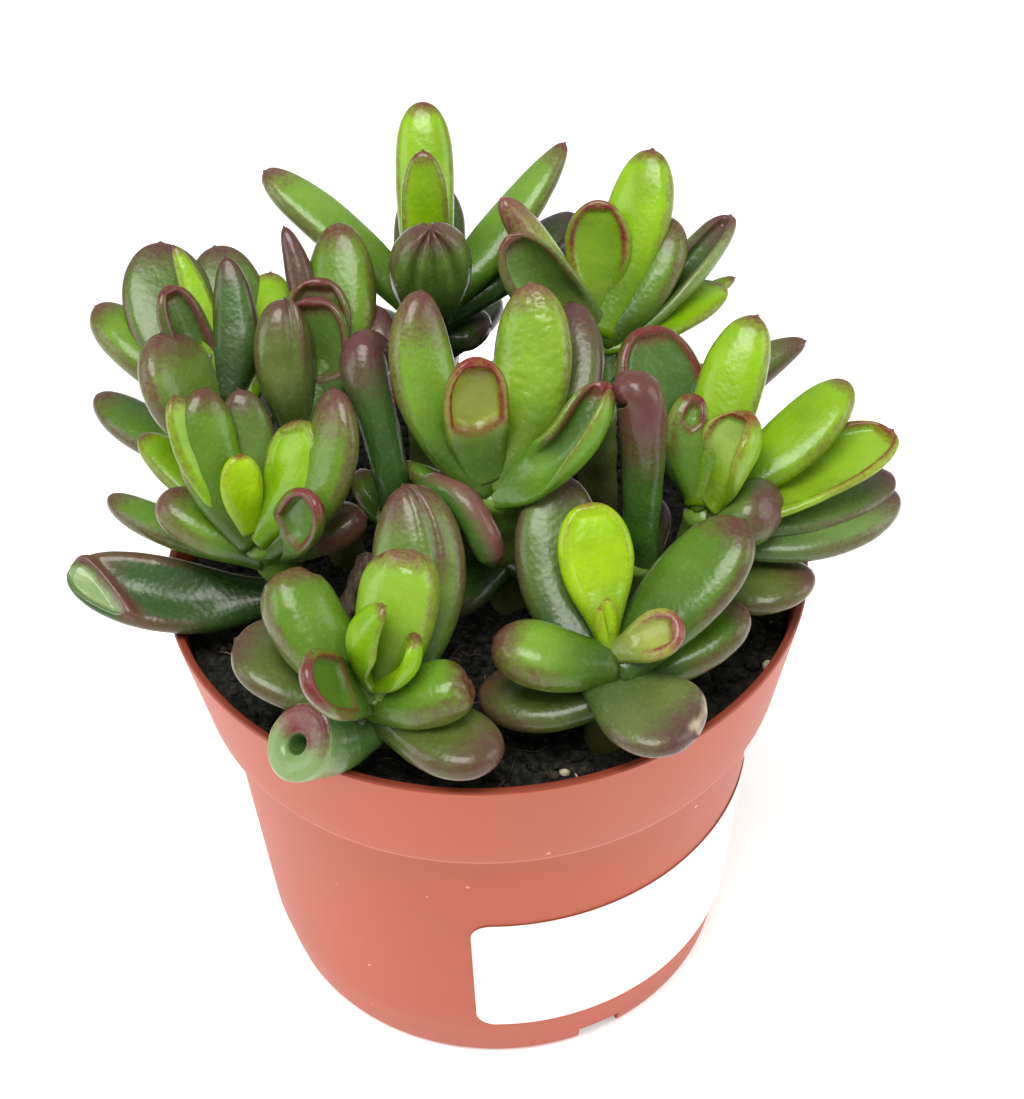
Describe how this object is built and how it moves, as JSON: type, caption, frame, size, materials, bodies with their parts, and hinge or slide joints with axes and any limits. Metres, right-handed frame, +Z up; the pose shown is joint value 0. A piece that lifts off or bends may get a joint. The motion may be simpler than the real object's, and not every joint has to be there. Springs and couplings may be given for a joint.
{
  "type": "potted succulent",
  "caption": "Hobbit jade succulent with spoon, finger and paddle leaves on short stems, growing in a tapered plastic nursery pot with a deep rim band and a blank paper label",
  "frame": {"origin": "centre of the pot's flat underside", "axes": "+Z up; -Y is the side that the picture shows; +X is to its right"},
  "size_m": [0.1352, 0.1113, 0.1447],
  "materials": {
    "pot_plastic": "moulded terracotta-coloured plastic, satin",
    "soil": "loose dark peat with fibres and a little perlite",
    "label_paper": "plain white adhesive paper, blank",
    "leaf_green": "glossy waxy leaf skin, mid green with red-brown tips",
    "leaf_dark": "glossy waxy leaf skin, dark green to red-brown",
    "leaf_lime": "glossy waxy leaf skin, lime green with red-brown tips",
    "dry_stem": "dry woody stem stub, rough"
  },
  "bodies": {
    "root": {"pot": "pot_plastic", "soil": "soil", "label": "label_paper", "shoot_front_left": "leaf_green", "shoot_front_right": "leaf_green", "shoot_left": "leaf_green", "shoot_back_left": "leaf_green", "shoot_left_inner": "leaf_dark", "shoot_middle_left": "leaf_dark", "shoot_centre": "leaf_green", "shoot_middle_right": "leaf_dark", "shoot_back": "leaf_green", "shoot_back_right": "leaf_lime", "shoot_right": "leaf_lime", "dead_stem": "dry_stem"}
  },
  "joints": []
}
